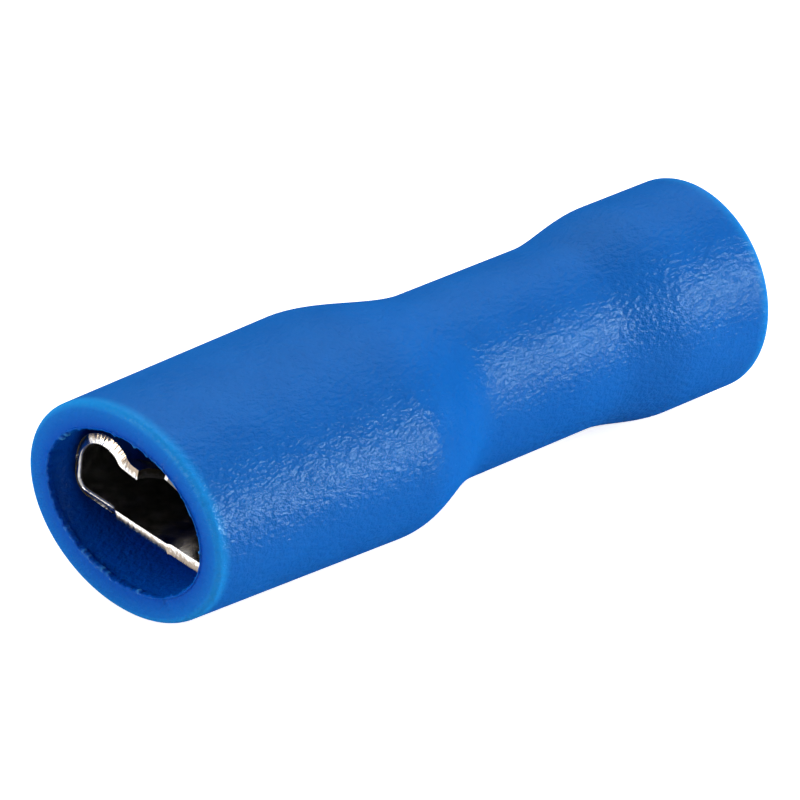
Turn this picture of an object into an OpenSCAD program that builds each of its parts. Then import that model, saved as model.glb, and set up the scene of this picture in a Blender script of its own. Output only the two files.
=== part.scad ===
// Fully insulated female spade terminal for a flat tab.
// A folded brass receptacle and its crimp barrel sit inside one moulded sleeve.
// The sleeve lies along Y: its oval mouth faces -Y and its round wire end faces +Y.

/* [Tab receptacle] */
// Width of the flat tab that the receptacle takes
tab_w = 4.8; // [4.6:0.1:5.2]
// Side play of the tab between the two curls, both sides together
tab_play = 0.2; // [0.05:0.05:0.4]
// Thickness of the brass sheet
sheet_t = 0.3; // [0.25:0.01:0.33]
// Height of the receptacle over its curls
receptacle_h = 2.12; // [2.06:0.02:2.4]
// Length of the receptacle from its front edge to the neck
receptacle_l = 6.6; // [5.5:0.1:8]
// Radius of the bends where the sides rise from the floor, to the middle of the sheet
corner_r = 0.45; // [0.35:0.05:0.5]
// Radius of the curls over the tab's edges, to the middle of the sheet
curl_r = 1; // [0.8:0.05:1.05]
// Gap between the floor and the lips of the curls, a little under the tab's thickness
grip_gap = 0.7; // [0.5:0.05:0.8]
// Bend radius of the lip where it turns back along the tab
lip_bend_r = 0.25; // [0.2:0.05:0.4]
// Length of sheet from the top of each curl to the edge of its lip
curl_end_l = 1.62; // [1.55:0.01:1.7]
// How much sheet is trimmed off the front corner of each lip
lip_trim = 0.25; // [0:0.05:0.4]
// How far past its top each curl bends down at the open front edge, in degrees
front_bend = 38; // [30:1:50]
// Downward slope of the lips at the front edge, in degrees
front_slope = 5; // [0:1:15]
// Length over which the lips drop from the front edge to their grip height
lead_in_l = 1.5; // [0.8:0.1:2.5]
// Height of the receptacle's middle above the axis of the sleeve
receptacle_rise = 0.1; // [0:0.05:0.3]

/* [Receptacle details] */
// Diameter of the locking dimple pressed up from the floor
dimple_d = 1.3; // [0.8:0.1:1.8]
// Height of the dimple above the floor
dimple_h = 0.12; // [0.05:0.01:0.16]
// Distance from the front edge to the middle of the dimple
dimple_y = 3.4; // [2:0.1:4.5]
// Width of the sheared stub that joined the front edge to its strip
stub_w = 2.1; // [1:0.1:3]
// How far the stub stands out from the front edge
stub_l = 0.1; // [0.05:0.05:0.3]
// Thickness of the stub below the floor's surface
stub_t = 0.2; // [0.1:0.01:0.22]

/* [Neck and crimp barrel] */
// Length over which the curls are cut away in front of the neck
notch_l = 0.5; // [0.2:0.1:1]
// Length of the neck between receptacle and barrel
neck_l = 2.8; // [2:0.1:4]
// Length of sheet in each upturned side of the neck, where it leaves the receptacle
neck_side_l = 1.2; // [0.9:0.05:1.5]
// Bore of the crimp barrel, for the bared wire
barrel_bore_d = 2.4; // [2.2:0.1:3]
// Length of the crimp barrel
barrel_l = 6; // [5:0.1:7]
// Width of the butt seam along the top of the barrel
seam_w = 0.08; // [0.04:0.02:0.2]
// Number of grip grooves round the inside of the barrel
groove_count = 3; // [0:1:4]
// Width of each grip groove
groove_w = 0.3; // [0.2:0.05:0.5]
// Depth of each grip groove
groove_depth = 0.08; // [0.04:0.01:0.12]
// Distance from one grip groove to the next
groove_pitch = 1.1; // [0.8:0.1:1.4]
// Bevel inside the rear edge of the barrel
barrel_bevel = 0.12; // [0.05:0.01:0.2]

/* [Sleeve outside] */
// Depth from the sleeve's mouth to the front edge of the receptacle
recess = 0.8; // [0.3:0.1:1.5]
// How much wider the oval part is at its shoulder than at its mouth
oval_grow_w = 0.35; // [0:0.05:0.8]
// How much higher the oval part is at its shoulder than at its mouth
oval_grow_h = 0.36; // [0:0.02:0.8]
// How far the oval part reaches past the receptacle
oval_lap = 0.1; // [0:0.1:1]
// Length of the shoulder that draws the oval part in to the waist
shoulder_l = 3.7; // [3.2:0.1:5]
// Wall round the barrel at the waist
waist_wall = 1.13; // [0.8:0.01:1.3]
// How far the barrel reaches back past the waist, into the flare
flare_lap = 0.6; // [0.2:0.1:1.2]
// Length of the flare between the waist and the wire end
flare_l = 2.85; // [2:0.05:4]
// Wall at the round wire end
bell_wall = 0.83; // [0.6:0.01:1.1]
// Length of the straight wire end
bell_l = 2.75; // [1.5:0.05:5]
// Rounding of the outer edges at both ends
rim_r = 0.2; // [0.1:0.02:0.4]

/* [Sleeve inside] */
// Wall thickness at the mouth and along the oval part
wall_t = 0.72; // [0.6:0.02:0.9]
// Room beside the receptacle at the mouth, on each side
side_room = 0.15; // [0.1:0.01:0.5]
// Room over and under the receptacle at the mouth
head_room = 1.07; // [0.6:0.01:1.5]
// Bore at the wire end, which takes the wire's insulation
entry_d = 4.4; // [3.8:0.1:4.6]
// Length of the funnel from that bore down to the barrel
funnel_l = 0.9; // [0.6:0.1:1.8]
// Bevel inside the edge of the wire end
entry_bevel = 0.15; // [0.05:0.05:0.3]
// Clearance between the barrel and its seat in the sleeve, on the radius
seat_gap = 0.01; // [0.005:0.005:0.03]

/* [Hidden] */

$fn = 96;
sides = 64;        // corners of one ring of the sleeve
sheet_steps = 30;  // lengths of sheet from the middle of the floor to the edge
floor_share = 0.3; // how much of that half width the first of them takes in the receptacle
steps = 8;         // rings along each curved stretch
rim_steps = 4;     // rings along a rounded end
over = 0.5;        // how far a cutting shape passes the face that it cuts
bore_lead = 0.1;   // how far the barrel's bore and seam are cut into the open neck
lap = 0.3;         // how far one shape runs on into the next
inlay = 0.02;      // how far a shape that runs on lies below the next one's surface

// Places along Y from the mouth
y_front = recess;
y_neck = y_front + receptacle_l;
y_barrel = y_neck + neck_l;
y_barrel_end = y_barrel + barrel_l;
y_shoulder = y_neck + oval_lap;
y_waist = y_shoulder + shoulder_l;
y_flare = y_barrel_end - flare_lap;
y_bell = y_flare + flare_l;
y_entry = y_barrel_end + funnel_l;
sleeve_l = y_bell + bell_l;

// Sheet bends, measured along the middle of the sheet
side_h = receptacle_h - sheet_t - corner_r - curl_r;
flat_half = (tab_w + tab_play + sheet_t) / 2 - corner_r;
floor_z = receptacle_rise - receptacle_h / 2 + sheet_t;
grip_drop = receptacle_h - 2 * sheet_t - grip_gap;
grip_bend = acos(1 - grip_drop / (curl_r + lip_bend_r));
barrel_d = barrel_bore_d + 2 * sheet_t;
barrel_r = (barrel_bore_d + sheet_t) / 2;

// Outlines of the sleeve, from what lies inside it and its walls
receptacle_w = tab_w + tab_play + 2 * sheet_t;
mouth_w = receptacle_w + 2 * (side_room + wall_t);
mouth_h = receptacle_h + 2 * (head_room + wall_t);
oval_w = mouth_w + oval_grow_w;
oval_h = mouth_h + oval_grow_h;
waist_d = barrel_d + 2 * waist_wall;
bell_d = entry_d + 2 * bell_wall;

// Half widths of the flat blank, from the middle of the floor to its edge
wing_half = flat_half + (corner_r + curl_r) * PI / 2 + side_h + curl_end_l;
neck_half = flat_half + neck_side_l;
barrel_half = barrel_r * PI - seam_w / 2 - inlay;
seat_r = barrel_d / 2 + seat_gap;

function mix(a, b, t) = a + (b - a) * t;
function ease(t) = let (c = min(max(t, 0), 1)) c * c * (3 - 2 * c);
function reversed(list) = [for (i = [len(list) - 1 : -1 : 0]) list[i]];
function without_first(list) = [for (i = [1 : len(list) - 1]) list[i]];

// A solid skin through a row of rings that all have the same number of points.
// The faces in "caps", each a list of corners of one ring, close its two ends.
module skin(rings, caps) {
    n = len(rings[0]);
    last = len(rings) - 1;
    sides_a = [for (j = [0 : last - 1], i = [0 : n - 1])
        [j * n + i, j * n + (i + 1) % n, (j + 1) * n + i]];
    sides_b = [for (j = [0 : last - 1], i = [0 : n - 1])
        [j * n + (i + 1) % n, (j + 1) * n + (i + 1) % n, (j + 1) * n + i]];
    front = [for (cap = caps) reversed(cap)];
    back = [for (cap = caps) [for (i = cap) last * n + i]];
    polyhedron(points = [for (ring = rings, p = ring) p], faces = concat(sides_a, sides_b, front, back));
}

// ---- Sleeve ----

// Size across the sleeve at distance y from the mouth, from its size at the mouth,
// at the end of the oval part, at the waist and at the wire end
function sleeve_size(y, at_mouth, at_oval, at_waist, at_bell) =
    y < y_shoulder ? mix(at_mouth, at_oval, y / y_shoulder)
    : y < y_flare ? mix(at_oval, at_waist, ease((y - y_shoulder) / shoulder_l))
    : mix(at_waist, at_bell, ease((y - y_flare) / flare_l));

// How far a rounded end draws the outline in, at distance d from that end
function rim_inset(d) = d > rim_r ? 0 : rim_r - sqrt(rim_r * rim_r - pow(rim_r - d, 2));

// One oval ring across the sleeve, with a flat side on the ground
function oval_ring(y, w, h) = [for (i = [0 : sides - 1])
    let (a = 360 * (i + 0.5) / sides, k = 1 / cos(180 / sides))
        [k * w / 2 * cos(a), y, k * h / 2 * sin(a)]];

function outer_ring(y) = let (inset = rim_inset(min(y, sleeve_l - y)))
    oval_ring(y,
        sleeve_size(y, mouth_w, oval_w, waist_d, bell_d) - 2 * inset,
        sleeve_size(y, mouth_h, oval_h, waist_d, bell_d) - 2 * inset);

// Distances from a rounded end at which its rings lie
rim_places = [for (i = [0 : rim_steps]) rim_r * (1 - cos(90 * i / rim_steps))];

// Width and height of the cavity, which narrows behind the receptacle to the seat
function cavity_ring(y) = let (t = ease((y - y_shoulder) / shoulder_l), seat_d = 2 * (seat_r - inlay))
    oval_ring(y,
        mix(sleeve_size(min(y, y_shoulder), mouth_w, oval_w, waist_d, bell_d) - 2 * wall_t, seat_d, t),
        mix(sleeve_size(min(y, y_shoulder), mouth_h, oval_h, waist_d, bell_d) - 2 * wall_t, seat_d, t));

// The one face that closes an oval end
oval_cap = [[for (i = [0 : sides - 1]) i]];

module sleeve_outside() {
    skin([for (y = concat(
        rim_places,
        [for (i = [0 : steps]) y_shoulder + shoulder_l * i / steps],
        [for (i = [0 : steps]) y_flare + flare_l * i / steps],
        [for (d = reversed(rim_places)) sleeve_l - d])) outer_ring(y)], oval_cap);
}

module front_cavity() {
    skin([for (y = concat([-over], [for (i = [0 : steps]) y_shoulder + shoulder_l * i / steps]))
        cavity_ring(y)], oval_cap);
}

// A round tool along +Y from y0, with a start and an end radius
module along_y(y0, length, r1, r2) {
    translate([0, y0, 0])
        rotate([-90, 0, 0])
            cylinder(r1 = r1, r2 = r2, h = length);
}

module insulating_sleeve() {
    color("dodgerblue")
        place()
            difference() {
                sleeve_outside();
                front_cavity();
                along_y(y_waist - lap, y_barrel_end - y_waist + lap, seat_r, seat_r);
                along_y(y_barrel_end, funnel_l, seat_r, entry_d / 2);
                along_y(y_entry, sleeve_l - y_entry + over, entry_d / 2, entry_d / 2);
                along_y(sleeve_l - entry_bevel, 2 * entry_bevel, entry_d / 2, entry_d / 2 + 2 * entry_bevel);
            }
}

// ---- Terminal ----

// Where a bend of radius r takes the point p, from heading a to heading b, in degrees
function bent(p, r, a, b) = p + r * [sin(b) - sin(a), cos(a) - cos(b)];

// The sheet's middle line from the middle of the floor to its edge: a flat at height z,
// a corner up to a straight side, a curl that turns on to heading "over_top",
// a bend back to heading "last", and a straight lip. Gives [x, z, heading] at length s.
function line_point(s, flat, z, corner, side, curl, over_top, last) =
    let (
        s_side = s - flat - corner * PI / 2,
        s_curl = s_side - side,
        s_back = s_curl - curl * (over_top - 90) * PI / 180,
        s_lip = s_back - lip_bend_r * (over_top - last) * PI / 180,
        p_side = bent([flat, z], corner, 0, 90),
        p_curl = p_side + [0, side],
        p_back = bent(p_curl, curl, 90, over_top),
        p_lip = bent(p_back, -lip_bend_r, over_top, last),
        a_corner = (s - flat) / corner * 180 / PI,
        a_curl = 90 + s_curl / curl * 180 / PI,
        a_back = over_top - s_back / lip_bend_r * 180 / PI)
    s < flat ? [s, z, 0]
    : s_side < 0 ? concat(bent([flat, z], corner, 0, a_corner), a_corner)
    : s_curl < 0 ? [p_side[0], p_side[1] + s_side, 90]
    : s_back < 0 ? concat(bent(p_curl, curl, 90, a_curl), a_curl)
    : s_lip < 0 ? concat(bent(p_back, -lip_bend_r, over_top, a_back), a_back)
    : [p_lip[0] + s_lip * cos(last), p_lip[1] + s_lip * sin(last), last];

// One face of half the sheet, at distance t from its middle line
function sheet_side(line, t) = [for (p = line) [p[0] - t * sin(p[2]), p[1] + t * cos(p[2])]];
function mirrored(points) = [for (p = points) [-p[0], p[1]]];

// The closed outline of the folded sheet at distance y from the mouth
function sheet_ring(y, line, t) =
    let (inside = sheet_side(line, t / 2), outside = sheet_side(line, -t / 2))
    [for (p = concat(
        reversed(inside),
        mirrored(without_first(inside)),
        reversed(mirrored(outside)),
        without_first(outside))) [p[0], y, p[1]]];

// The outline at distance y: how open the lips are, how wide the flat blank is there,
// and how far the section has turned from receptacle to barrel
function formed_ring(y) =
    let (
        opened = 1 - ease((y - y_front) / lead_in_l),
        over_top = 180 + mix(grip_bend, front_bend, opened),
        last = 180 + mix(0, front_slope, opened),
        wing = wing_half - lip_trim * opened,
        turned = ease((y - y_neck) / neck_l),
        half = mix(mix(wing, neck_half, ease((y - y_neck) / notch_l + 1)), barrel_half, turned),
        flat = mix(flat_half, inlay / 4, turned),
        z = mix(floor_z - sheet_t / 2, -barrel_r, turned),
        corner = mix(corner_r, barrel_r, turned),
        side = mix(side_h, 0, turned),
        curl = mix(curl_r, barrel_r, turned),
        first = mix(floor_share, 1 / sheet_steps, turned),
        places = [for (i = [0 : sheet_steps - 1]) half * mix(first, 1, i / (sheet_steps - 1))],
        line = [for (s = concat(0, places))
            line_point(s, flat, z, corner, side, curl, over_top, last)])
    sheet_ring(y, line, mix(sheet_t, sheet_t - 2 * inlay, turned));

// Receptacle and neck: one sheet, folded from a flat blank. Its cut edges are rows of
// four-cornered faces, each from one of the sheet's sides to the other.
module formed_sheet() {
    corners = 4 * sheet_steps + 2;
    skin([for (y = concat(
        [for (i = [0 : steps]) y_front + lead_in_l * i / steps],
        [for (i = [0 : steps]) y_neck - notch_l * (1 - i / steps)],
        [for (i = [1 : steps]) y_neck + neck_l * i / steps],
        [y_barrel + lap])) formed_ring(y)],
        [for (i = [0 : corners / 2 - 2]) [i, i + 1, corners - 2 - i, corners - 1 - i]]);
}

// The sheared stub, just under the floor's surface
module strip_stub() {
    translate([-stub_w / 2, y_front - stub_l, floor_z - inlay - stub_t])
        cube([stub_w, stub_l + lap, stub_t]);
}

// The locking dimple: a low round boss with sloping sides, pressed up from the floor
module dimple(d, z0, height) {
    translate([0, y_front + dimple_y, z0])
        cylinder(d1 = d, d2 = d - 4 * dimple_h, h = height);
}

// The bore, grooves, bevel and seam of the crimp barrel
module barrel_inside() {
    bore_r = barrel_bore_d / 2;
    first_groove = y_barrel + (barrel_l - groove_pitch * (groove_count - 1) - groove_w) / 2;
    along_y(y_barrel - bore_lead, barrel_l + bore_lead + over, bore_r, bore_r);
    along_y(y_barrel_end - barrel_bevel, 2 * barrel_bevel, bore_r, bore_r + 2 * barrel_bevel);
    for (i = [0 : 1 : groove_count - 1])
        along_y(first_groove + groove_pitch * i, groove_w, bore_r + groove_depth, bore_r + groove_depth);
    translate([-seam_w / 2, y_barrel - bore_lead, 0])
        cube([seam_w, barrel_l + bore_lead + over, barrel_d]);
}

module terminal() {
    color("lightgray")
        place()
            difference() {
                union() {
                    formed_sheet();
                    strip_stub();
                    dimple(dimple_d, floor_z - sheet_t / 2, sheet_t / 2 + dimple_h);
                    along_y(y_barrel, barrel_l, barrel_d / 2, barrel_d / 2);
                }
                barrel_inside();
                dimple(dimple_d, floor_z - sheet_t - over, over + dimple_h);
            }
}

// Lays the part on its oval side, centred over the origin
module place() {
    translate([0, -sleeve_l / 2, max(oval_h, bell_d) / 2])
        children();
}

insulating_sleeve();
terminal();
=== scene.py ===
"""The looks of a fully insulated female spade terminal: a satin blue vinyl sleeve with a folded,
tin-plated brass receptacle inside. Lengths are written in millimetres and built in metres."""

import math

import bpy
from mathutils import Matrix, Vector, noise


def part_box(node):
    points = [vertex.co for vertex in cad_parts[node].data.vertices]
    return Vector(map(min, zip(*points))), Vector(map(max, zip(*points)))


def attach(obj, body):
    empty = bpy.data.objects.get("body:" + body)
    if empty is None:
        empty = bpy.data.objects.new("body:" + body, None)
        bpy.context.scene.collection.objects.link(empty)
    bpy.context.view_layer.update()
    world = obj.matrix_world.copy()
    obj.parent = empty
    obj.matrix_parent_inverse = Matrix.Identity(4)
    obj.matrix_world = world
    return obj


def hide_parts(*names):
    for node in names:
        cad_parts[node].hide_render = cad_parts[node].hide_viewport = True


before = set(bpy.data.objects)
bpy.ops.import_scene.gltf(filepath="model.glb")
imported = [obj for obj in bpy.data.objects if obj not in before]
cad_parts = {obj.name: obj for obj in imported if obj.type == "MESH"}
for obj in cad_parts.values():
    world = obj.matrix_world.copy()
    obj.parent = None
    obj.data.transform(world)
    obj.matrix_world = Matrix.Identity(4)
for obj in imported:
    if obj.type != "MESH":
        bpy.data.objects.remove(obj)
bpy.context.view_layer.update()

MM = 0.001

# ---- Sizes, in mm ----

SLEEVE_LOW, SLEEVE_HIGH = (Vector(corner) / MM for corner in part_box("insulating_sleeve"))
TERMINAL_LOW, TERMINAL_HIGH = (Vector(corner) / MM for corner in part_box("terminal"))

MOUTH_Y = SLEEVE_LOW.y
WIRE_END_Y = SLEEVE_HIGH.y
AXIS_Z = (SLEEVE_LOW.z + SLEEVE_HIGH.z) / 2

# The sheet, its strip's stub, and its folds
SHEET = 0.3
STUB_LENGTH = 0.1
STUB_WIDTH = 2.1
STUB_THICKNESS = 0.2
RECEPTACLE_WIDTH = TERMINAL_HIGH.x - TERMINAL_LOW.x
RECEPTACLE_HEIGHT = 2.12
RECEPTACLE_RISE = 0.1
RECEPTACLE_LENGTH = 6.6
CORNER = 0.45
CURL = 1.0
GRIP_GAP = 0.7
LIP_BEND = 0.25
CURL_END = 1.62
LIP_TRIM = 0.25
FRONT_BEND = math.radians(38)
FRONT_SLOPE = math.radians(5)
LEAD_IN = 1.5
NOTCH = 0.5
NECK_LENGTH = 2.8
NECK_SIDE = 1.2
SEAM = 0.08
BARREL_BORE = 2.4
GROOVE_WIDTH = 0.3
GROOVE_DEPTH = 0.08
GROOVE_PITCH = 1.1
GROOVE_FLANK = 0.06
GROOVES = 3
DIMPLE_WIDTH = 1.3
DIMPLE_HEIGHT = 0.12
DIMPLE_PLACE = 3.4
DIMPLE_STEEPNESS = 1.6
EDGE_ROUNDING = 0.05
# Half the width that stays flat where the floor has turned into the barrel's bottom
BARREL_FLAT = 0.005
# Headings below this, in radians, count as the level floor
LEVEL = 0.01

# The terminal sits a little turned in its sleeve. At the front its right curl stands open, with
# more trimmed off the corner of its lip
TERMINAL_TURN = math.radians(2)
RIGHT_OPENING = math.radians(50)
RIGHT_TRIM = 0.62

# Places along the front edge, by their length from the middle of the floor. With a minus sign
# they are on the left
STUB_HALF = STUB_WIDTH / 2
BURR_START = 1.0
BURR_END = 1.45
SCORING_END = 1.2
STUB_SHADE_END = 1.3
CURL_START = 4.1
CURL_TOP = 4.5
LIP_START = 5.5
# Length at the left lip's tip where its front no longer slants
LIP_LEVEL = 0.75

# How far the front edge stands out beside the stub, and how far the stub stays within its length
FRONT_PROUD = 0.02
RAG_ROOM = 0.01
# How far its outer side lies back between the stub and the left curl, and over the left curl
OUTER_SLANT = 0.16
LIP_SLANT = 0.14
# How wide its inner side is worn off, and how far its burr hangs down
WORN_EDGE = 0.045
BURR_DROP = 0.1
# How far its fine and its coarse rag reach, and how strong its painted shade is over the stub, 0 to 1
FINE_RAG = 0.010
COARSE_RAG = 0.008
STUB_SHADE = 0.85

# Places along the terminal
FRONT_Y = TERMINAL_LOW.y + STUB_LENGTH
NECK_Y = FRONT_Y + RECEPTACLE_LENGTH
BARREL_Y = NECK_Y + NECK_LENGTH
BARREL_END_Y = TERMINAL_HIGH.y
DIMPLE_Y = FRONT_Y + DIMPLE_PLACE

# The sleeve's walls, its growth from mouth to shoulder, and its stretches
WALL = 0.72
OVAL_GROW_WIDTH = 0.35
OVAL_GROW_HEIGHT = 0.36
OVAL_LAP = 0.1
SHOULDER = 3.7
WAIST_WALL = 1.13
BELL_WALL = 0.83
ENTRY_BORE = 4.4
FUNNEL = 0.9
FLARE_LAP = 0.6
FLARE = 2.85
SEAT_GAP = 0.01
RIM = 0.2

# A fine ridge round the edge of each bore, and ragged moulding flash behind the mouth's, which
# has a painted highlight where it is higher than a share of its usual height
RIDGE = 0.05
FLASH = 0.07
FLASH_DEPTH = 0.3
FLASH_SHINE = 0.9

# How far the painted glow reaches in from the rims' outer edges, where on the mouth's face that
# starts, from 0 at the bore to 2 at the outside, and how strong it is at the wire end
GLOW = 0.5
GLOW_START = 1.05
WIRE_END_GLOW = 0.7

# How deep into the cavity the painted shade grows to its darkest
SHADE_DEPTH = 3.0

BARREL_WIDTH = BARREL_BORE + 2 * SHEET
SEAT = BARREL_WIDTH + 2 * SEAT_GAP
OVAL_WIDTH = SLEEVE_HIGH.x - SLEEVE_LOW.x
OVAL_HEIGHT = SLEEVE_HIGH.z - SLEEVE_LOW.z
MOUTH_WIDTH = OVAL_WIDTH - OVAL_GROW_WIDTH
MOUTH_HEIGHT = OVAL_HEIGHT - OVAL_GROW_HEIGHT
MOUTH_BORE = MOUTH_WIDTH - 2 * WALL
WAIST_WIDTH = BARREL_WIDTH + 2 * WAIST_WALL
BELL_WIDTH = ENTRY_BORE + 2 * BELL_WALL
SHOULDER_Y = NECK_Y + OVAL_LAP
WAIST_Y = SHOULDER_Y + SHOULDER
FLARE_Y = BARREL_END_Y - FLARE_LAP
ENTRY_Y = BARREL_END_Y + FUNNEL

# ---- Colours and light ----

# Vinyl: plain, with painted shade on the mouth's face and inside, darker painted shade deep inside,
# a painted glow at thin rims, and a painted highlight on flash. Its sheen is a small share of the
# light it gives
BLUE = (0.002, 0.108, 0.455)
PALE_BLUE = (0.004, 0.124, 0.500)
SHADED_BLUE = (0.001, 0.090, 0.540)
DEEP_SHADE_BLUE = (0.001, 0.022, 0.300)
PAINTED_GLOW_BLUE = (0.010, 0.300, 0.800)
FLASH_HIGHLIGHT_BLUE = (0.080, 0.400, 0.850)
SHEEN = (0.6, 0.95, 1.0, 1.0)
SHEEN_SHARE = 0.012

# Metal: plated faces, with stains, and the sheared edge's inner side, outer side and painted shade
TIN = (0.52, 0.51, 0.50)
STAINED_TIN = (0.40, 0.37, 0.33)
DRAWN_TIN = (0.90, 0.88, 0.85)
BARE_BRASS = (0.42, 0.34, 0.26)
PAINTED_SHADE_METAL = (0.16, 0.15, 0.14)

# Floor and world
WHITE = (1, 1, 1, 1)
PAPER = (0.8, 0.8, 0.8, 1)
PAPER_LIFT = 0.8
WORLD_LEVEL = 0.12


def mix(a, b, t):
    """The value a share t of the way from a to b."""
    return a + (b - a) * t


def ease(t):
    """0 up to t = 0 and 1 from t = 1 on, with a smooth rise between."""
    t = min(max(t, 0.0), 1.0)
    return t * t * (3 - 2 * t)


def spread(a, b, count):
    """count + 1 even places from a to b."""
    return [mix(a, b, i / count) for i in range(count + 1)]


# ---- Camera ----


def add_camera():
    """A long lens, from above the wide side of the mouth, a little rolled."""
    azimuth = math.radians(46.6)
    elevation = math.radians(29.0)
    roll = math.radians(5.0)
    distance = 181.4 * MM
    aim = Vector((0, 0, AXIS_Z * MM))
    level = Vector((-math.cos(azimuth), math.sin(azimuth), 0))
    forward = math.cos(elevation) * level - math.sin(elevation) * Vector((0, 0, 1))
    right = Vector((math.sin(azimuth), math.cos(azimuth), 0))
    up = math.sin(elevation) * level + math.cos(elevation) * Vector((0, 0, 1))
    turned_right = math.cos(roll) * right + math.sin(roll) * up
    turned_up = -math.sin(roll) * right + math.cos(roll) * up
    turn = Matrix((turned_right, turned_up, -forward)).transposed().to_4x4()
    data = bpy.data.cameras.new("camera")
    data.lens = 306.1
    data.sensor_width = 36
    data.shift_x = -0.0213
    data.shift_y = -0.0085
    data.clip_start = 0.01
    camera = bpy.data.objects.new("camera", data)
    camera.matrix_world = Matrix.Translation(aim - forward * distance) @ turn
    bpy.context.scene.collection.objects.link(camera)
    bpy.context.scene.camera = camera


# ---- Materials ----


class Nodes:
    """The node tree of a material or a world, with short calls to add and link nodes."""

    def __init__(self, owner, output="ShaderNodeOutputMaterial"):
        self.owner = owner
        owner.use_nodes = True
        self.tree = owner.node_tree
        self.tree.nodes.clear()
        self.output = self.tree.nodes.new(output)

    def add(self, kind, inputs=None, **settings):
        """A new node. inputs gives its sockets a value or a link, and settings its properties."""
        node = self.tree.nodes.new(kind)
        for key, value in settings.items():
            setattr(node, key, value)
        for key, value in (inputs or {}).items():
            if isinstance(value, bpy.types.NodeSocket):
                self.tree.links.new(value, node.inputs[key])
            else:
                node.inputs[key].default_value = value
        return node

    def place(self):
        """Where a point lies on the object, in metres."""
        return self.add("ShaderNodeTexCoord").outputs["Object"]

    def grain(self, size_mm, detail=3.0, rough=0.55, stretch=(1, 1, 1)):
        """Noise whose features are about size_mm across."""
        scaled = self.add("ShaderNodeMapping", {"Vector": self.place(), "Scale": stretch})
        inputs = {"Vector": scaled.outputs["Vector"], "Scale": 1 / (size_mm * MM)}
        inputs.update({"Detail": detail, "Roughness": rough})
        return self.add("ShaderNodeTexNoise", inputs).outputs["Fac"]

    def fade(self, value, low, high, to_low, to_high):
        """value's range low..high becomes to_low..to_high."""
        return self.add(
            "ShaderNodeMapRange",
            {"Value": value, "From Min": low, "From Max": high, "To Min": to_low, "To Max": to_high},
        ).outputs["Result"]

    def noted(self, name):
        """A value noted on the mesh's points."""
        return self.add("ShaderNodeAttribute", attribute_name=name).outputs["Fac"]

    def join(self, operation, a, b):
        """a and b, numbers or outputs, joined by a math operation."""
        return self.add("ShaderNodeMath", {0: a, 1: b}, operation=operation).outputs[0]

    def blend(self, factor, colour_a, colour_b):
        """A colour from colour_a to colour_b, as factor goes from 0 to 1."""
        node = self.add("ShaderNodeMix", data_type="RGBA")
        self.tree.links.new(factor, node.inputs[0])
        for socket, colour in ((node.inputs[6], colour_a), (node.inputs[7], colour_b)):
            if isinstance(colour, bpy.types.NodeSocket):
                self.tree.links.new(colour, socket)
            else:
                socket.default_value = (*colour, 1)
        return node.outputs[2]

    def bump(self, height, depth_mm, normal=None):
        """Relief of depth_mm, on top of that of normal."""
        inputs = {"Height": height, "Strength": 1.0, "Distance": depth_mm * MM}
        if normal is not None:
            inputs["Normal"] = normal
        return self.add("ShaderNodeBump", inputs).outputs["Normal"]

    def finish(self, shader):
        """Links the shader to the output and gives the material or world."""
        self.tree.links.new(shader, self.output.inputs["Surface"])
        return self.owner


def sleeve_vinyl():
    """Soft blue vinyl: satin, a little translucent, with a fine leathery skin and a thin sheen."""
    n = Nodes(bpy.data.materials.new("sleeve_vinyl"))
    mottle = n.fade(n.grain(1.6, 4.0), 0.3, 0.7, 0.0, 1.0)
    colour = n.blend(mottle, BLUE, PALE_BLUE)
    # Painted shade: a shaded copy of the blue on the mouth's face and inside the bore
    colour = n.blend(n.noted("shade"), colour, SHADED_BLUE)
    # Darker painted shade deeper in the cavity
    colour = n.blend(n.noted("depth"), colour, DEEP_SHADE_BLUE)
    # Painted glow near the rims' outer edges
    colour = n.blend(n.noted("painted_glow"), colour, PAINTED_GLOW_BLUE)
    # Painted highlight on the flash's tallest teeth
    colour = n.blend(n.noted("burr"), colour, FLASH_HIGHLIGHT_BLUE)
    waves = n.grain(0.9, 2.0)
    pebbles = n.grain(0.13, 2.0, 0.6, (1.0, 0.6, 1.0))
    normal = n.bump(pebbles, 0.055, n.bump(waves, 0.01))
    body = n.add(
        "ShaderNodeBsdfPrincipled",
        {
            "Base Color": colour,
            "Roughness": 0.3,
            "Normal": normal,
            "Specular IOR Level": 0.0,
            "Subsurface Weight": 0.2,
            "Subsurface Radius": (0.2, 0.6, 1.0),
            "Subsurface Scale": 0.5 * MM,
        },
    )
    sheen = n.add("ShaderNodeBsdfGlossy", {"Color": SHEEN, "Roughness": 0.1, "Normal": normal})
    both = n.add("ShaderNodeMixShader", {0: SHEEN_SHARE, 1: body.outputs[0], 2: sheen.outputs[0]})
    return n.finish(both.outputs[0])


def tinned_brass():
    """Bright tin plate, rolled along the strip, with small stains."""
    n = Nodes(bpy.data.materials.new("tinned_brass"))
    stain = n.fade(n.grain(0.5, 4.0), 0.45, 0.75, 0.0, 1.0)
    colour = n.blend(stain, TIN, STAINED_TIN)
    rolling = n.grain(0.05, 2.0, 0.5, (1.0, 0.08, 1.0))
    shader = n.add(
        "ShaderNodeBsdfPrincipled",
        {
            "Base Color": colour,
            "Metallic": 1.0,
            "Roughness": n.fade(n.grain(0.3), 0.3, 0.7, 0.14, 0.24),
            "Normal": n.bump(rolling, 0.002, n.bump(n.grain(0.9), 0.01)),
        },
    )
    return n.finish(shader.outputs["BSDF"])


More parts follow.
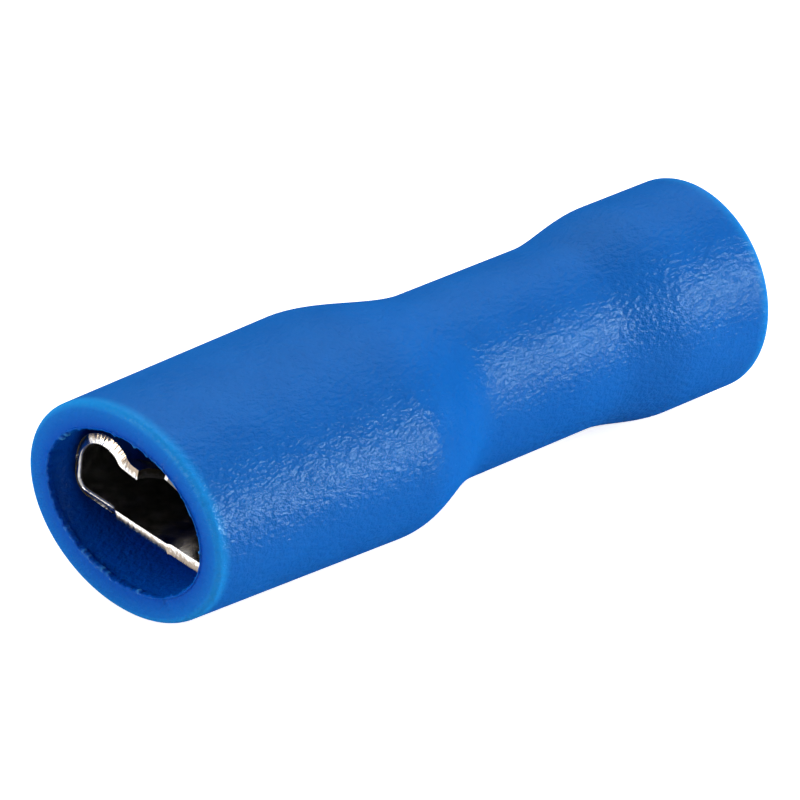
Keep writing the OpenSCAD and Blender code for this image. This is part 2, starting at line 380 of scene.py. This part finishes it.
def sheared_edge():
    """The sheet's cut edge: tin drawn over its inner side, bare brass on its outer side, scored
    across its thickness, and with painted shade in places."""
    n = Nodes(bpy.data.materials.new("sheared_edge"))
    score = n.add(
        "ShaderNodeTexNoise",
        {"W": n.noted("along"), "Scale": 11.0, "Detail": 3.0},
        noise_dimensions="1D",
    ).outputs["Fac"]
    score = n.join("MULTIPLY", score, n.noted("scored"))
    ragged = n.join("ADD", n.noted("across"), n.fade(n.grain(0.12), 0.3, 0.7, -0.25, 0.25))
    bare = n.fade(ragged, 0.25, 0.6, 0.0, 1.0)
    colour = n.blend(bare, DRAWN_TIN, BARE_BRASS)
    # Painted shade on parts of the sheared edge
    painted_shade = n.fade(n.noted("painted_shade"), 0.45, 0.65, 0.0, 1.0)
    colour = n.blend(painted_shade, colour, PAINTED_SHADE_METAL)
    shader = n.add(
        "ShaderNodeBsdfPrincipled",
        {
            "Base Color": colour,
            "Metallic": 1.0,
            "Roughness": 0.22,
            "Normal": n.bump(score, 0.02),
        },
    )
    return n.finish(shader.outputs["BSDF"])


# ---- Meshes ----


def make_object(name, points, faces, materials, slots=None, notes=None):
    """A smooth mesh object from points in mm. slots gives each face's material, if not the first,
    and notes gives values on the points for the materials to read."""
    mesh = bpy.data.meshes.new(name)
    mesh.from_pydata([Vector(p) * MM for p in points], [], faces)
    for material in materials:
        mesh.materials.append(material)
    if slots:
        mesh.polygons.foreach_set("material_index", slots)
    mesh.polygons.foreach_set("use_smooth", [True] * len(mesh.polygons))
    for key, values in (notes or {}).items():
        mesh.attributes.new(key, "FLOAT", "POINT").data.foreach_set("value", values)
    mesh.update()
    thing = bpy.data.objects.new(name, mesh)
    bpy.context.scene.collection.objects.link(thing)
    return thing


def grid_faces(rows, columns, close_rows=False, close_columns=False):
    """Quads over a grid of points laid out row by row."""
    faces = []
    for j in range(rows if close_rows else rows - 1):
        for i in range(columns if close_columns else columns - 1):
            a = j * columns + i
            b = j * columns + (i + 1) % columns
            c = ((j + 1) % rows) * columns + (i + 1) % columns
            d = ((j + 1) % rows) * columns + i
            faces.append((a, d, c, b))
    return faces


# ---- Sleeve ----

# How finely each stretch of the mesh is divided
SLEEVE_SIDES = 320
RIM_STEPS = 8
OVAL_STEPS = 60
WAIST_STEPS = 60
BELL_STEPS = 50
ENTRY_STEPS = 16
FUNNEL_STEPS = 10
SEAT_STEPS = 6
NARROWING_STEPS = 24
CAVITY_STEPS = 36
FLASH_STEPS = 8


def outside(y, at_mouth, at_oval, at_waist, at_bell):
    """Size across the sleeve at y, from its four main sizes."""
    if y < SHOULDER_Y:
        return mix(at_mouth, at_oval, (y - MOUTH_Y) / (SHOULDER_Y - MOUTH_Y))
    if y < FLARE_Y:
        return mix(at_oval, at_waist, ease((y - SHOULDER_Y) / SHOULDER))
    return mix(at_waist, at_bell, ease((y - FLARE_Y) / FLARE))


def outer_size(y):
    """Width and height of the sleeve's outside at y."""
    return (
        outside(y, MOUTH_WIDTH, OVAL_WIDTH, WAIST_WIDTH, BELL_WIDTH),
        outside(y, MOUTH_HEIGHT, OVAL_HEIGHT, WAIST_WIDTH, BELL_WIDTH),
    )


def cavity_size(y):
    """Size of the front cavity, which narrows to the barrel's seat."""
    width, height = outer_size(min(y, SHOULDER_Y))
    t = ease((y - SHOULDER_Y) / SHOULDER)
    return mix(width - 2 * WALL, SEAT, t), mix(height - 2 * WALL, SEAT, t)


def rim_arc(y, inward, radius):
    """A quarter circle at the end face y, as (y, inset) pairs from the side to the face. inward
    is 1 at the mouth and -1 at the wire end."""
    arc = []
    for a in spread(0, math.pi / 2, RIM_STEPS):
        arc.append((y + inward * radius * (1 - math.sin(a)), radius * (1 - math.cos(a))))
    return arc


def sleeve_stations():
    """The sleeve's section as (y, width, height) stations, from the mouth's rim back along the
    outside, round the wire end, and forward through the bore and the cavity. Beside the ridge at
    each bore's edge the end face dips. Gives the stations, and how many of them are outside."""
    stations = []

    def outer(y, inset=0.0):
        width, height = outer_size(y)
        stations.append((y, width - 2 * inset, height - 2 * inset))

    def round_bore(y, diameter):
        stations.append((y, diameter, diameter))

    def cavity(y, inset=0.0):
        width, height = cavity_size(y)
        stations.append((y, width + 2 * inset, height + 2 * inset))

    for y, inset in reversed(rim_arc(MOUTH_Y, 1, RIM)):
        outer(y, inset)
    for y in spread(MOUTH_Y + RIM, SHOULDER_Y, OVAL_STEPS)[1:]:
        outer(y)
    for y in spread(SHOULDER_Y, FLARE_Y, WAIST_STEPS)[1:]:
        outer(y)
    for y in spread(FLARE_Y, WIRE_END_Y - RIM, BELL_STEPS)[1:]:
        outer(y)
    for y, inset in rim_arc(WIRE_END_Y, -1, RIM)[1:]:
        outer(y, inset)
    outside_count = len(stations)
    for y, inset in rim_arc(WIRE_END_Y, -1, RIDGE):
        round_bore(y, ENTRY_BORE + 2 * (RIDGE - inset))
    for y in spread(WIRE_END_Y - RIDGE, ENTRY_Y, ENTRY_STEPS)[1:]:
        round_bore(y, ENTRY_BORE)
    for y in spread(ENTRY_Y, BARREL_END_Y, FUNNEL_STEPS)[1:]:
        round_bore(y, mix(ENTRY_BORE, SEAT, ease((ENTRY_Y - y) / FUNNEL)))
    for y in spread(BARREL_END_Y, WAIST_Y, SEAT_STEPS)[1:]:
        round_bore(y, SEAT)
    for y in spread(WAIST_Y, SHOULDER_Y, NARROWING_STEPS)[1:]:
        cavity(y)
    for y in spread(SHOULDER_Y, MOUTH_Y + FLASH_DEPTH, CAVITY_STEPS)[1:]:
        cavity(y)
    for y in spread(MOUTH_Y + FLASH_DEPTH, MOUTH_Y + RIDGE, FLASH_STEPS)[1:]:
        cavity(y)
    for y, inset in reversed(rim_arc(MOUTH_Y, 1, RIDGE)[:-1]):
        cavity(y, RIDGE - inset)
    return stations, outside_count


def flash_height(a):
    """How far moulding flash stands in behind the mouth's inner edge at angle a: slow waves with
    two sizes of teeth on them."""
    direction = Vector((math.cos(a), math.sin(a), 0))
    waves = 0.6 * noise.noise(direction * 7)
    teeth = 1.6 * max(noise.noise(direction * 17), 0) + 0.8 * noise.noise(direction * 31)
    return FLASH * (0.4 + waves + teeth)


def painted_glow_at(y, width):
    """How strong the painted glow is on the outside, 0 to 1, near the mouth's and the wire end's
    outer edges."""
    off_bore = (width - MOUTH_BORE) / WALL
    at_mouth = ease(1 - (y - MOUTH_Y) / GLOW) * ease(off_bore - GLOW_START)
    return max(at_mouth, WIRE_END_GLOW * ease(1 - (WIRE_END_Y - y) / GLOW))


def add_sleeve():
    """The moulded sleeve. Its points note, for the look of the vinyl, where a glow is painted on
    the rims' outer edges, where shade is painted on the mouth's face and inside, how deep in the
    cavity it is for a darker painted shade, and how far flash stands up for a painted highlight on
    it."""
    points = []
    notes = {"painted_glow": [], "shade": [], "depth": [], "burr": []}
    stations, outside_count = sleeve_stations()
    for place, (y, width, height) in enumerate(stations):
        behind = y - MOUTH_Y
        is_bore = place >= outside_count
        has_flash = is_bore and behind < FLASH_DEPTH and width < MOUTH_BORE + 2 * RIDGE
        # Painted shade: full in the bore, fading out over the mouth's rim
        shade = 1.0 if is_bore else ease(1 - behind / RIM)
        # Painted glow near the rims' outer edges
        painted_glow = 0.0 if is_bore else painted_glow_at(y, width)
        # Painted shade that darkens the bore deeper into the cavity
        depth = ease(behind / SHADE_DEPTH) if is_bore and y < WAIST_Y else 0.0
        for i in range(SLEEVE_SIDES):
            a = 2 * math.pi * i / SLEEVE_SIDES
            inset = 0.0
            if has_flash:
                inset = flash_height(a) * ease(2 - 2 * behind / FLASH_DEPTH) * ease(behind / RIDGE)
            points.append((
                (width / 2 - inset) * math.cos(a),
                y,
                AXIS_Z + (height / 2 - inset) * math.sin(a),
            ))
            notes["painted_glow"].append(painted_glow)
            notes["shade"].append(shade)
            notes["depth"].append(depth)
            # Painted highlight where the flash stands tallest
            notes["burr"].append(ease(inset / FLASH - FLASH_SHINE))
    faces = grid_faces(len(stations), SLEEVE_SIDES, close_rows=True, close_columns=True)
    sleeve = make_object("vinyl_sleeve", points, faces, [sleeve_vinyl()], notes=notes)
    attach(sleeve, "root")
    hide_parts("insulating_sleeve")


# ---- Terminal ----

SIDE_HEIGHT = RECEPTACLE_HEIGHT - SHEET - CORNER - CURL
FLAT_HALF = (RECEPTACLE_WIDTH - SHEET) / 2 - CORNER
FLOOR_Z = RECEPTACLE_RISE - (RECEPTACLE_HEIGHT - SHEET) / 2
BARREL = (BARREL_BORE + SHEET) / 2
GRIP_BEND = math.acos(1 - (RECEPTACLE_HEIGHT - 2 * SHEET - GRIP_GAP) / (CURL + LIP_BEND))
WING_HALF = FLAT_HALF + (CORNER + CURL) * math.pi / 2 + SIDE_HEIGHT + CURL_END
NECK_HALF = FLAT_HALF + NECK_SIDE
BARREL_HALF = BARREL * math.pi - SEAM / 2
UPRIGHT = math.pi / 2

# The sheet's outer and inner side, as the sign of their distance from its middle line
OUTER, INNER = -1, 1

# How finely half the sheet's width and each stretch of its length are divided
SHEET_STEPS = 150
LEAD_IN_STEPS = 24
RECEPTACLE_STEPS = 32
NOTCH_STEPS = 14
NECK_STEPS = 28
BARREL_STEPS = 44


def bent(x, z, r, a, b):
    """Where a bend of radius r takes (x, z), from heading a to heading b."""
    return x + r * (math.sin(b) - math.sin(a)), z + r * (math.cos(a) - math.cos(b))


def line_point(s, flat, z, corner, side, curl, over_top, last):
    """A point (x, z, heading) of the sheet's middle line, at length s from the middle of the floor:
    a flat at height z, a corner up to a straight side, a curl that turns on to heading over_top,
    a bend back to heading last, and a straight lip."""
    if s < flat:
        return s, z, 0.0
    s -= flat
    if s < corner * UPRIGHT:
        heading = s / corner
        return (*bent(flat, z, corner, 0, heading), heading)
    s -= corner * UPRIGHT
    x, z = bent(flat, z, corner, 0, UPRIGHT)
    if s < side:
        return x, z + s, UPRIGHT
    s -= side
    z += side
    if s < curl * (over_top - UPRIGHT):
        heading = UPRIGHT + s / curl
        return (*bent(x, z, curl, UPRIGHT, heading), heading)
    s -= curl * (over_top - UPRIGHT)
    x, z = bent(x, z, curl, UPRIGHT, over_top)
    if s < LIP_BEND * (over_top - last):
        heading = over_top - s / LIP_BEND
        return (*bent(x, z, -LIP_BEND, over_top, heading), heading)
    s -= LIP_BEND * (over_top - last)
    x, z = bent(x, z, -LIP_BEND, over_top, last)
    return x + s * math.cos(last), z + s * math.sin(last), last


def sheet_row(y):
    """The middle line across the whole sheet at y, from its left edge to its right edge, as
    (x, z, heading, length from the middle of the floor)."""
    opened = 1 - ease((y - FRONT_Y) / LEAD_IN)
    turned = ease((y - NECK_Y) / NECK_LENGTH)
    left_top = math.pi + mix(GRIP_BEND, FRONT_BEND, opened)
    left_last = math.pi + FRONT_SLOPE * opened
    right_top = left_top - RIGHT_OPENING * opened
    right_last = min(math.pi, right_top)
    halves = []
    for trim in (LIP_TRIM, RIGHT_TRIM):
        wing = WING_HALF - trim * opened
        half = mix(wing, NECK_HALF, ease((y - NECK_Y) / NOTCH + 1))
        halves.append(mix(half, BARREL_HALF, turned))
    flat = mix(FLAT_HALF, BARREL_FLAT, turned)
    z = mix(FLOOR_Z, -BARREL, turned)
    corner = mix(CORNER, BARREL, turned)
    side = mix(SIDE_HEIGHT, 0, turned)
    curl = mix(CURL, BARREL, turned)
    row = []
    for s in reversed(spread(0, halves[0], SHEET_STEPS)[1:]):
        x, z_point, heading = line_point(s, flat, z, corner, side, curl, left_top, left_last)
        row.append((-x, z_point, -heading, -s))
    for s in spread(0, halves[1], SHEET_STEPS):
        row.append((*line_point(s, flat, z, corner, side, curl, right_top, right_last), s))
    return row


def terminal_rows():
    """Where the sheet's rows lie along y, from its front edge to the barrel's end. The first two
    are the worn front edge."""
    rows = [FRONT_Y]
    rows += spread(FRONT_Y + WORN_EDGE, FRONT_Y + LEAD_IN, LEAD_IN_STEPS)
    rows += spread(FRONT_Y + LEAD_IN, NECK_Y - NOTCH, RECEPTACLE_STEPS)[1:]
    rows += spread(NECK_Y - NOTCH, NECK_Y, NOTCH_STEPS)[1:]
    rows += spread(NECK_Y, BARREL_Y, NECK_STEPS)[1:]
    rows += spread(BARREL_Y, BARREL_END_Y, BARREL_STEPS)[1:]
    return rows


def groove_depth(y):
    """How deep the grip grooves cut into the barrel's bore at y."""
    middle = (BARREL_Y + BARREL_END_Y) / 2
    depth = 0.0
    for i in range(GROOVES):
        centre = middle + GROOVE_PITCH * (i - (GROOVES - 1) / 2)
        inside = GROOVE_WIDTH / 2 + GROOVE_FLANK - abs(y - centre)
        depth = max(depth, GROOVE_DEPTH * ease(inside / GROOVE_FLANK))
    return depth


def dimple_rise(x, y, heading):
    """How far the locking dimple lifts the receptacle's level floor at (x, y)."""
    if abs(heading) > LEVEL or y > NECK_Y:
        return 0.0
    inward = 1 - math.hypot(x, y - DIMPLE_Y) / (DIMPLE_WIDTH / 2)
    return DIMPLE_HEIGHT * ease(DIMPLE_STEEPNESS * inward)


def hump(value, low, high, soft):
    """1 between low and high, and 0 outside them, with soft ends."""
    return ease((value - low) / soft + 0.5) * ease((high - value) / soft + 0.5)


def rag(s, size, seed):
    """Smooth noise along the front edge, with features of about a size."""
    return noise.noise((s / size, seed, 0))


def painted_shade_side(s, layer):
    """Where shade is painted dark on the front edge, 0 to 1: on both sides of the sheet along the
    right curl, and on its outer side from the left curl to the stub and less so over the stub."""
    painted_shade = hump(s, CURL_TOP, WING_HALF - RIGHT_TRIM - 0.1, 0.06)
    if layer == OUTER:
        painted_shade = max(painted_shade, hump(s, -CURL_START, -STUB_HALF, 0.3))
        painted_shade = max(painted_shade, STUB_SHADE * hump(s, -STUB_SHADE_END, STUB_HALF, 0.2))
    return painted_shade


def scoring(s):
    """How deep the front edge is scored: fully from the left edge to near the stub, then less."""
    return mix(1.0, 0.25, ease((s + SCORING_END) / 0.4))


def sheared_front(s, layer):
    """How far the front edge stands out at length s on one side of the sheet: a ragged shear that
    slants here and there, with the strip's stub."""
    ragged = FINE_RAG * rag(s, 0.11, 3.1) + COARSE_RAG * rag(s, 0.4, 7.7)
    stub = hump(s, -STUB_HALF, STUB_HALF, 0.1)
    out = mix(FRONT_PROUD, STUB_LENGTH - RAG_ROOM, stub) + ragged
    if layer == OUTER:
        out -= OUTER_SLANT * hump(s, -CURL_START, -STUB_HALF, 0.3)
        out -= LIP_SLANT * hump(-s, CURL_TOP, WING_HALF - LIP_LEVEL, 0.6)
    return out


def edge_height(s, layer):
    """How far one side of the sheet lies from its middle line at the front edge: the outer side
    hangs down in a burr left of the stub and is pressed up at the stub, and the inner side is
    worn off left of the stub."""
    if layer == INNER:
        return SHEET / 2 - WORN_EDGE * hump(s, -LIP_START, -STUB_HALF, 0.3)
    if abs(s) < STUB_HALF:
        return SHEET / 2 - STUB_THICKNESS
    burr = BURR_DROP * hump(s, -BURR_END, -BURR_START, 0.1)
    return -SHEET / 2 - burr * (0.5 + rag(s, 0.06, 1.7))


def sheet_point(row, y, x, z, heading, s, layer):
    """A point on one side of the sheet, where its middle line has (x, z, heading) at length s."""
    across = layer * SHEET / 2
    if row < 2:
        y -= sheared_front(s, layer)
    if row == 0:
        across = edge_height(s, layer)
    if layer == INNER and y > BARREL_Y:
        across -= groove_depth(y)
    x_out = x - across * math.sin(heading)
    z_out = z + across * math.cos(heading) + dimple_rise(x, y, heading)
    turn_cos, turn_sin = math.cos(TERMINAL_TURN), math.sin(TERMINAL_TURN)
    return (
        x_out * turn_cos + z_out * turn_sin,
        y,
        AXIS_Z - x_out * turn_sin + z_out * turn_cos,
    )


def edge_faces(row_count, columns):
    """Quads round the sheet's four edges, from its outer side's points to its inner side's."""
    count = row_count * columns
    last = count - columns
    faces = []
    for i in range(columns - 1):
        faces.append((i, i + 1, count + i + 1, count + i))
        faces.append((last + i + 1, last + i, count + last + i, count + last + i + 1))
    for j in range(row_count - 1):
        a, b = j * columns, (j + 1) * columns
        faces.append((b, a, count + a, count + b))
        a, b = a + columns - 1, b + columns - 1
        faces.append((a, b, count + b, count + a))
    return faces


def add_terminal():
    """One folded sheet: its outer and inner side, joined round the edges. Its points note, for
    the look of the sheared edges, on which side of the sheet they lie, how far along it, how
    scored the edge is there, and how much shade is painted on it."""
    rows = terminal_rows()
    columns = 2 * SHEET_STEPS + 1
    points = []
    notes = {"across": [], "along": [], "scored": [], "painted_shade": []}
    for layer in (OUTER, INNER):
        for j, y in enumerate(rows):
            for x, z, heading, s in sheet_row(y):
                points.append(sheet_point(j, y, x, z, heading, s, layer))
                notes["across"].append(float(layer == OUTER))
                notes["along"].append(s)
                notes["scored"].append(scoring(s))
                # Painted shade on the sheared edge
                notes["painted_shade"].append(painted_shade_side(s, layer))
    count = len(rows) * columns
    under = grid_faces(len(rows), columns)
    over = [tuple(i + count for i in reversed(face)) for face in under]
    edges = edge_faces(len(rows), columns)
    slots = [0] * (len(under) + len(over)) + [1] * len(edges)
    materials = [tinned_brass(), sheared_edge()]
    faces = under + over + edges
    terminal = make_object("brass_terminal", points, faces, materials, slots, notes)
    bevel = terminal.modifiers.new("edge_rounding", "BEVEL")
    bevel.width = EDGE_ROUNDING * MM
    bevel.segments = 3
    bevel.limit_method = "ANGLE"
    bevel.angle_limit = math.radians(50)
    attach(terminal, "root")
    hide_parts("terminal")


# ---- Surroundings ----


def for_the_eye(n):
    """1 for rays that show the background: those of the camera, of reflections and of clear parts."""
    path = n.add("ShaderNodeLightPath").outputs
    seen = n.join("MAXIMUM", path["Is Camera Ray"], path["Is Glossy Ray"])
    return n.join("MAXIMUM", seen, path["Is Transmission Ray"])


def add_floor():
    """A plain white floor that keeps the object's soft shadow."""
    n = Nodes(bpy.data.materials.new("white_floor"))
    paper = n.add("ShaderNodeBsdfDiffuse", {"Color": PAPER})
    lift = n.add("ShaderNodeEmission", {"Color": WHITE, "Strength": PAPER_LIFT})
    both = n.add("ShaderNodeAddShader", {0: paper.outputs[0], 1: lift.outputs[0]})
    pick = n.add("ShaderNodeMixShader", {0: for_the_eye(n), 1: paper.outputs[0], 2: both.outputs[0]})
    material = n.finish(pick.outputs[0])
    half = 600
    corners = [(-half, -half, 0), (half, -half, 0), (half, half, 0), (-half, half, 0)]
    floor = make_object("floor", corners, [(0, 1, 2, 3)], [material])


def add_light(name, direction, distance, width, height, brightness):
    """A soft panel that faces the object, with its sizes in mm. brightness is the radiance of its
    face."""
    data = bpy.data.lights.new(name, "AREA")
    data.shape = "RECTANGLE"
    data.size = width * MM
    data.size_y = height * MM
    data.energy = brightness * math.pi * data.size * data.size_y
    light = bpy.data.objects.new(name, data)
    direction = Vector(direction).normalized()
    light.location = direction * distance * MM
    light.rotation_euler = direction.to_track_quat("Z", "Y").to_euler()
    bpy.context.scene.collection.objects.link(light)


def add_world():
    """Even, dim white light on the object, and a white backdrop for the eye."""
    world = bpy.data.worlds.new("studio")
    bpy.context.scene.world = world
    n = Nodes(world, "ShaderNodeOutputWorld")
    level = n.fade(for_the_eye(n), 0, 1, WORLD_LEVEL, 1.0)
    background = n.add("ShaderNodeBackground", {"Color": WHITE, "Strength": level})
    n.finish(background.outputs[0])


add_camera()
add_sleeve()
add_terminal()
add_floor()
add_light("key_softbox", (0.70, 0.62, 0.30), distance=300, width=76, height=175, brightness=21.5)
add_light("back_softbox", (-0.55, 0.58, 0.75), distance=400, width=400, height=400, brightness=2.3)
add_light("front_softbox", (-0.35, -0.85, 0.45), distance=400, width=200, height=200, brightness=7.0)
add_world()
bpy.context.scene.view_settings.view_transform = "Standard"
